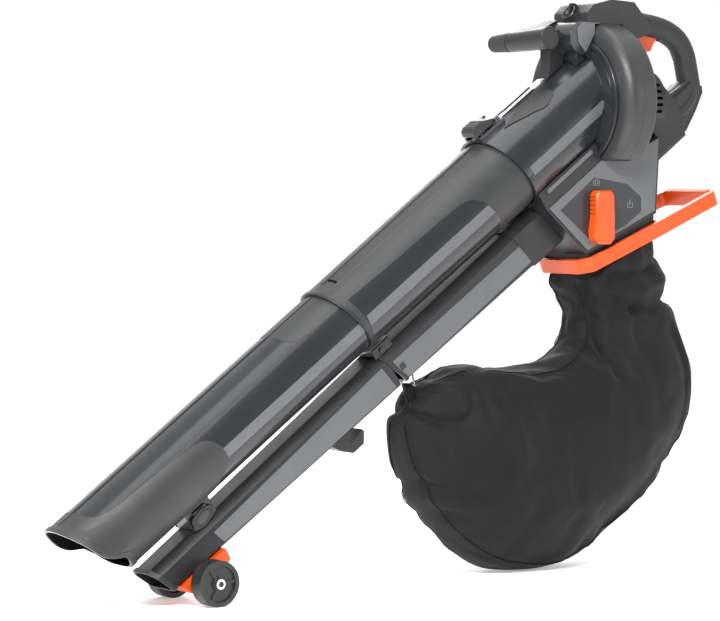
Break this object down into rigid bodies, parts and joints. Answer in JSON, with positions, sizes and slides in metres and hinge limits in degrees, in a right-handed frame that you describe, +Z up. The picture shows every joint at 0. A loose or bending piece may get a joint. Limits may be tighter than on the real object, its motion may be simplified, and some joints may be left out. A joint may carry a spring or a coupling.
{
  "type": "leaf vacuum mulcher",
  "caption": "Handheld leaf vacuum and blower with twin tubes, a fan housing, a blow/suck selector, grip handles, support wheels and a fabric collection bag.",
  "frame": {"origin": "centre of the footprint on the ground, midway along the overall length", "axes": "+X towards the rear grip, -X towards the nozzle, +Y towards the machine's right side, +Z up with the wheels and the bag on the ground"},
  "size_m": [1.2712, 0.266, 0.931],
  "materials": {
    "shell_black": "matt textured black moulding",
    "shell_gloss": "glossy black moulding",
    "shell_grey": "matt dark grey moulding",
    "trim_light": "satin light grey moulding",
    "accent_orange": "satin orange moulding",
    "grip_rubber": "soft ribbed black rubber",
    "bag_fabric": "black woven polyester",
    "steel": "brushed steel",
    "steel_bright": "bright plated steel",
    "fan_metal": "die cast aluminium",
    "board_green": "circuit board",
    "copper": "wound copper"
  },
  "bodies": {
    "machine": {"axle_caps": "steel_bright", "bag_left": "bag_fabric", "bag_neck": "bag_fabric", "bag_right": "bag_fabric", "bag_frame": "accent_orange", "bag_ring": "steel", "bag_tab": "bag_fabric", "bay_floor": "shell_grey", "blow_tube_lower": "shell_gloss", "blow_tube_upper": "shell_gloss", "control_board": "board_green", "diverter_box_left": "shell_black", "diverter_box_right": "shell_black", "front_handle": "shell_grey", "front_handle_cap": "shell_grey", "front_handle_tip": "grip_rubber", "grip_overmould": "grip_rubber", "screws": "steel", "intake_duct": "shell_gloss", "latch_spring": "steel", "motor_bearings": "steel", "motor_can": "steel", "pivot_pins": "steel", "power_switch": "shell_black", "rear_handle_left": "shell_grey", "rear_handle_right": "shell_grey", "rear_housing_left": "shell_grey", "rear_housing_right": "shell_grey", "scroll_front": "shell_grey", "scroll_rear": "shell_grey", "selector_panel": "shell_gloss", "shoulder_trims": "trim_light", "side_panel_left": "trim_light", "side_panel_right": "trim_light", "spine_cover": "shell_grey", "spine_inserts": "trim_light", "storage_hook": "shell_black", "suction_tube_lower": "shell_gloss", "suction_tube_upper": "shell_gloss", "trigger_spring": "steel", "tube_clip_front": "shell_black", "tube_clip_middle": "shell_black", "wheel_axle": "steel", "wheel_bracket": "accent_orange", "yoke": "shell_gloss"},
    "wheel_left": {"wheel_left": "shell_black"},
    "wheel_right": {"wheel_right": "shell_black"},
    "fan": {"impeller": "fan_metal", "impeller_nut": "steel", "shredder_blade": "steel", "motor_shaft": "steel", "motor_rotor": "copper"},
    "selector": {"selector_knob": "accent_orange", "selector_shaft": "steel", "diverter_flap": "shell_grey"},
    "trigger": {"trigger": "accent_orange"},
    "tube_latch": {"tube_latch": "accent_orange"},
    "bag_latch": {"bag_latch": "accent_orange"},
    "battery": {"battery_pack": "shell_black"},
    "harness_ring": {"harness_ring": "steel_bright"}
  },
  "joints": [
    {"name": "wheel_left_spin", "type": "hinge", "parent": "machine", "child": "wheel_left", "pos_m": [-0.3875, -0.0625, 0.035], "axis": [0, 1, 0], "continuous": true},
    {"name": "wheel_right_spin", "type": "hinge", "parent": "machine", "child": "wheel_right", "pos_m": [-0.3875, 0.0625, 0.035], "axis": [0, 1, 0], "continuous": true},
    {"name": "fan_spin", "type": "hinge", "parent": "machine", "child": "fan", "pos_m": [0.40055, 0, 0.764], "axis": [1, 0, 0], "continuous": true},
    {"name": "selector_turn", "type": "hinge", "parent": "machine", "child": "selector", "pos_m": [0.36155, 0, 0.549], "axis": [0, 1, 0], "range_deg": [0, 57]},
    {"name": "trigger_pull", "type": "hinge", "parent": "machine", "child": "trigger", "pos_m": [0.50255, 0, 0.889], "axis": [0, -1, 0], "range_deg": [0, 10], "stiffness_Nm_per_rad": 2, "springref_deg": -8.59, "deforming": ["trigger_spring"]},
    {"name": "tube_latch_press", "type": "hinge", "parent": "machine", "child": "tube_latch", "pos_m": [0.18557, 0, 0.73307], "axis": [0, -1, 0], "range_deg": [0, 4], "stiffness_Nm_per_rad": 2, "springref_deg": -5.73, "deforming": ["latch_spring"]},
    {"name": "bag_latch_release", "type": "hinge", "parent": "machine", "child": "bag_latch", "pos_m": [0.51755, 0, 0.572], "axis": [0, 1, 0], "range_deg": [0, 12], "stiffness_Nm_per_rad": 1, "springref_deg": -5.73},
    {"name": "battery_slide", "type": "slide", "parent": "machine", "child": "battery", "axis": [0, 1, 0], "range_m": [0, 0.1]},
    {"name": "harness_ring_swing", "type": "hinge", "parent": "machine", "child": "harness_ring", "pos_m": [0.35655, 0, 0.9195], "axis": [0, 1, 0], "range_deg": [0, 200]}
  ]
}
